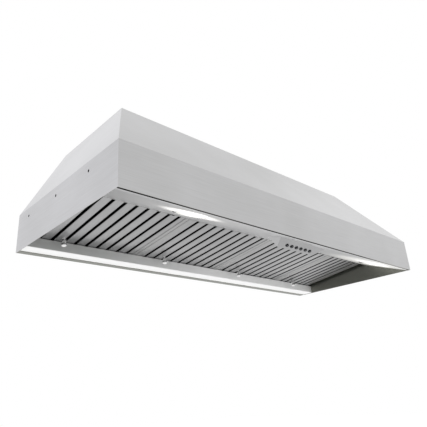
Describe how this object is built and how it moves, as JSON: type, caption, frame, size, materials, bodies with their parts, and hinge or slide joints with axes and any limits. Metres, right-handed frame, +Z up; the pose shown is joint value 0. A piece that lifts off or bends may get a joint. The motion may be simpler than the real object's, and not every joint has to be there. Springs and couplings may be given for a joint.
{
  "type": "range hood insert",
  "caption": "Stainless range hood insert with a sloping canopy, baffle filters with pull knobs, recessed lamps, a button box and a blower with a round duct outlet.",
  "frame": {"origin": "centre of the open bottom rim, in the rim's plane", "axes": "+X to the right as seen from the front, +Y to the back (the tall upright wall), +Z up"},
  "size_m": [1.168, 0.476, 0.352],
  "materials": {
    "stainless": "brushed along the panel",
    "filter_steel": "fine brushed",
    "turned_steel": "turned and polished",
    "button_chrome": "satin chrome",
    "lamp_glass": "frosted",
    "heat_sink_aluminium": "die cast",
    "spring_steel": "plain",
    "white_plastic": "matt",
    "board_laminate": "solder mask",
    "black_plastic": "matt",
    "galvanised": "galvanised",
    "wheel_steel": "galvanised",
    "motor_enamel": "black enamel",
    "motor_laminations": "bare",
    "bearing_steel": "ground",
    "flap_aluminium": "plain",
    "fastener_steel": "zinc plated"
  },
  "bodies": {
    "canopy": {"back_panel": "stainless", "blower_side_left": "galvanised", "blower_side_right": "galvanised", "blower_wrapper": "galvanised", "cable_gland": "black_plastic", "capacitor": "white_plastic", "capacitor_clamp": "galvanised", "control_board": "board_laminate", "control_housing": "stainless", "damper_rod": "turned_steel", "duct_collar": "stainless", "filter_rail": "stainless", "front_panel": "stainless", "grease_trough": "stainless", "hex_nuts": "fastener_steel", "junction_box": "galvanised", "junction_box_cover": "galvanised", "lamp_clips": "spring_steel", "lamp_driver": "white_plastic", "lamp_left_bezel": "turned_steel", "lamp_left_heat_sink": "heat_sink_aluminium", "lamp_left_lens": "lamp_glass", "lamp_right_bezel": "turned_steel", "lamp_right_heat_sink": "heat_sink_aluminium", "lamp_right_lens": "lamp_glass", "left_side_panel": "stainless", "light_panel": "stainless", "motor_bearings": "bearing_steel", "motor_bracket": "galvanised", "motor_case": "motor_enamel", "motor_stator": "motor_laminations", "push_switches": "black_plastic", "right_side_panel": "stainless", "screws": "fastener_steel", "side_filler": "stainless", "top_panel": "stainless"},
    "filter_1": {"filter_1_frame": "filter_steel", "filter_1_baffles": "filter_steel", "filter_1_knob": "turned_steel"},
    "filter_2": {"filter_2_frame": "filter_steel", "filter_2_baffles": "filter_steel", "filter_2_knob": "turned_steel"},
    "filter_3": {"filter_3_frame": "filter_steel", "filter_3_baffles": "filter_steel", "filter_3_knob": "turned_steel"},
    "filter_4": {"filter_4_frame": "filter_steel", "filter_4_baffles": "filter_steel", "filter_4_knob": "turned_steel"},
    "button_1_cap": {"button_1": "button_chrome"},
    "button_2_cap": {"button_2": "button_chrome"},
    "button_3_cap": {"button_3": "button_chrome"},
    "button_4_cap": {"button_4": "button_chrome"},
    "button_5_cap": {"button_5": "button_chrome"},
    "button_6_cap": {"button_6": "button_chrome"},
    "blower_rotor": {"blower_wheel": "wheel_steel", "wheel_blades": "wheel_steel", "motor_shaft": "turned_steel", "motor_rotor": "motor_laminations"},
    "front_flap": {"damper_flap_front": "flap_aluminium"},
    "back_flap": {"damper_flap_back": "flap_aluminium"}
  },
  "joints": [
    {"name": "filter_1_lift", "type": "hinge", "parent": "canopy", "child": "filter_1", "pos_m": [-0.4245, -0.07045, 0.08301], "axis": [1, 0, 0], "range_deg": [0, 6]},
    {"name": "filter_2_lift", "type": "hinge", "parent": "canopy", "child": "filter_2", "pos_m": [-0.1095, -0.07045, 0.08301], "axis": [1, 0, 0], "range_deg": [0, 6]},
    {"name": "filter_3_lift", "type": "hinge", "parent": "canopy", "child": "filter_3", "pos_m": [0.2055, -0.07045, 0.08301], "axis": [1, 0, 0], "range_deg": [0, 6]},
    {"name": "filter_4_lift", "type": "hinge", "parent": "canopy", "child": "filter_4", "pos_m": [0.4631, -0.07045, 0.08301], "axis": [1, 0, 0], "range_deg": [0, 6]},
    {"name": "button_1_press", "type": "slide", "parent": "canopy", "child": "button_1_cap", "axis": [0, 0.3919, 0.92], "range_m": [0, 0.002], "stiffness_N_per_m": 400, "springref_m": -0.0015},
    {"name": "button_2_press", "type": "slide", "parent": "canopy", "child": "button_2_cap", "axis": [0, 0.3919, 0.92], "range_m": [0, 0.002], "stiffness_N_per_m": 400, "springref_m": -0.0015},
    {"name": "button_3_press", "type": "slide", "parent": "canopy", "child": "button_3_cap", "axis": [0, 0.3919, 0.92], "range_m": [0, 0.002], "stiffness_N_per_m": 400, "springref_m": -0.0015},
    {"name": "button_4_press", "type": "slide", "parent": "canopy", "child": "button_4_cap", "axis": [0, 0.3919, 0.92], "range_m": [0, 0.002], "stiffness_N_per_m": 400, "springref_m": -0.0015},
    {"name": "button_5_press", "type": "slide", "parent": "canopy", "child": "button_5_cap", "axis": [0, 0.3919, 0.92], "range_m": [0, 0.002], "stiffness_N_per_m": 400, "springref_m": -0.0015},
    {"name": "button_6_press", "type": "slide", "parent": "canopy", "child": "button_6_cap", "axis": [0, 0.3919, 0.92], "range_m": [0, 0.002], "stiffness_N_per_m": 400, "springref_m": -0.0015},
    {"name": "blower_spin", "type": "hinge", "parent": "canopy", "child": "blower_rotor", "pos_m": [0, 0.031, 0.204], "axis": [1, 0, 0], "continuous": true},
    {"name": "front_flap_swing", "type": "hinge", "parent": "canopy", "child": "front_flap", "pos_m": [0, 0.10684, 0.328], "axis": [-1, 0, 0], "range_deg": [0, 80]},
    {"name": "back_flap_swing", "type": "hinge", "parent": "canopy", "child": "back_flap", "pos_m": [0, 0.10684, 0.328], "axis": [1, 0, 0], "range_deg": [0, 80]}
  ]
}
